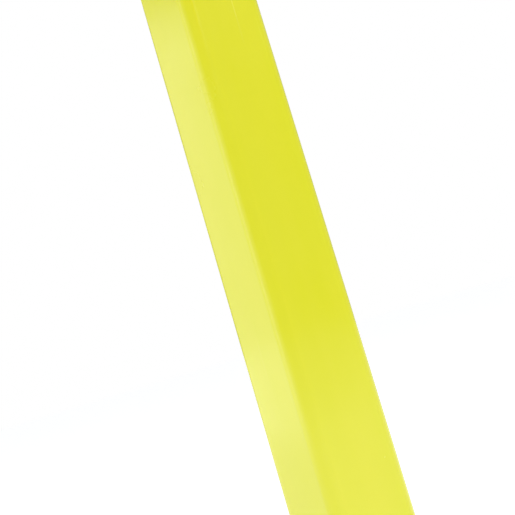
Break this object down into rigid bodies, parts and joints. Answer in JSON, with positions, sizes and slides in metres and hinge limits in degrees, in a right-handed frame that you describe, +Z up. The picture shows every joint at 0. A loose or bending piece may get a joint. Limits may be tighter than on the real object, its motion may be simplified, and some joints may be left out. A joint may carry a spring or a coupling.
{
  "type": "windsock with pole",
  "caption": "Airfield windsock on a telescopic square mast with a bolted base plate, clamp knobs and a swivelling wire frame.",
  "frame": {"origin": "centre of the base plate's underside", "axes": "+Z up the mast; +X the way the sock points at rest"},
  "size_m": [0.7575, 0.3, 1.486],
  "materials": {
    "galvanised": "hot-dip galvanised",
    "yellow_powder_coat": "gloss fluorescent powder coat",
    "black_nylon": "moulded, fine spark texture",
    "brass": "turned",
    "stainless": "satin",
    "zinc_steel": "bright zinc plated",
    "aluminium": "satin",
    "bearing_steel": "ground",
    "rubber": "matt",
    "sock_cloth": "coated ripstop nylon"
  },
  "bodies": {
    "base": {"base_plate": "galvanised", "base_socket": "galvanised", "base_gussets": "galvanised", "socket_bosses": "galvanised"},
    "front_pad": {"front_clamp_pad": "brass"},
    "front_screw": {"front_clamp_stud": "zinc_steel", "front_clamp_knob": "black_nylon"},
    "side_pad": {"side_clamp_pad": "brass"},
    "side_screw": {"side_clamp_stud": "zinc_steel", "side_clamp_knob": "black_nylon"},
    "lower": {"lower_mast": "yellow_powder_coat", "mast_foot": "black_nylon", "mast_collar": "black_nylon", "collar_insert": "brass", "collar_screws": "zinc_steel"},
    "collar_pad": {"collar_clamp_pad": "brass"},
    "collar_screw": {"collar_clamp_stud": "zinc_steel", "collar_clamp_knob": "black_nylon"},
    "upper": {"upper_mast": "yellow_powder_coat", "guide_shoe": "black_nylon", "mast_head": "aluminium", "head_screws": "zinc_steel", "spindle": "stainless", "bearing_inner_rings": "bearing_steel", "bearing_spacer": "aluminium", "spindle_washer": "zinc_steel", "spindle_nut": "zinc_steel", "swivel_seal": "rubber"},
    "head": {"swivel_tube": "aluminium", "bearing_outer_rings": "bearing_steel", "bearing_balls": "bearing_steel", "rain_cap": "black_nylon", "cap_screws": "zinc_steel", "swivel_lugs": "stainless", "hoop_arms": "stainless", "arm_bolts": "zinc_steel", "arm_nuts": "zinc_steel", "front_hoop": "stainless", "rear_hoop": "stainless", "frame_rods": "stainless", "sock_throat": "sock_cloth", "sock_eyelets": "brass", "sock_ties": "black_nylon", "sock_knee": "sock_cloth"},
    "tail": {"sock_tail": "sock_cloth"}
  },
  "joints": [
    {"name": "front_pad_slide", "type": "slide", "parent": "base", "child": "front_pad", "axis": [0, -1, 0], "range_m": [0, 0.00305]},
    {"name": "front_knob_turn", "type": "hinge", "parent": "front_pad", "child": "front_screw", "pos_m": [0, -0.03, 0.12], "axis": [0, -1, 0], "range_deg": [0, 720]},
    {"name": "side_pad_slide", "type": "slide", "parent": "base", "child": "side_pad", "axis": [1, 0, 0], "range_m": [0, 0.00305]},
    {"name": "side_knob_turn", "type": "hinge", "parent": "side_pad", "child": "side_screw", "pos_m": [0.03, 0, 0.12], "axis": [1, 0, 0], "range_deg": [0, 720]},
    {"name": "collar_pad_slide", "type": "slide", "parent": "lower", "child": "collar_pad", "axis": [0, -1, 0], "range_m": [0, 0.00305]},
    {"name": "collar_knob_turn", "type": "hinge", "parent": "collar_pad", "child": "collar_screw", "pos_m": [0, -0.03, 0.884], "axis": [0, -1, 0], "range_deg": [0, 720]},
    {"name": "mast_lift", "type": "slide", "parent": "base", "child": "lower", "axis": [0, 0, 1], "range_m": [0, 0.15]},
    {"name": "mast_extend", "type": "slide", "parent": "lower", "child": "upper", "axis": [0, 0, 1], "range_m": [-0.23, 0.219]},
    {"name": "head_swivel", "type": "hinge", "parent": "upper", "child": "head", "pos_m": [0, 0, 1.32], "axis": [0, 0, 1], "continuous": true},
    {"name": "tail_droop", "type": "hinge", "parent": "head", "child": "tail", "pos_m": [0.389, 0, 1.384], "axis": [0, -1, 0], "range_deg": [0, 67], "deforming": ["sock_knee"]}
  ],
  "couplings": [
    {"joint": "front_pad_slide", "follows": "front_knob_turn", "m_per_rad": 0.00023873},
    {"joint": "side_pad_slide", "follows": "side_knob_turn", "m_per_rad": 0.00023873},
    {"joint": "collar_pad_slide", "follows": "collar_knob_turn", "m_per_rad": 0.00023873}
  ]
}
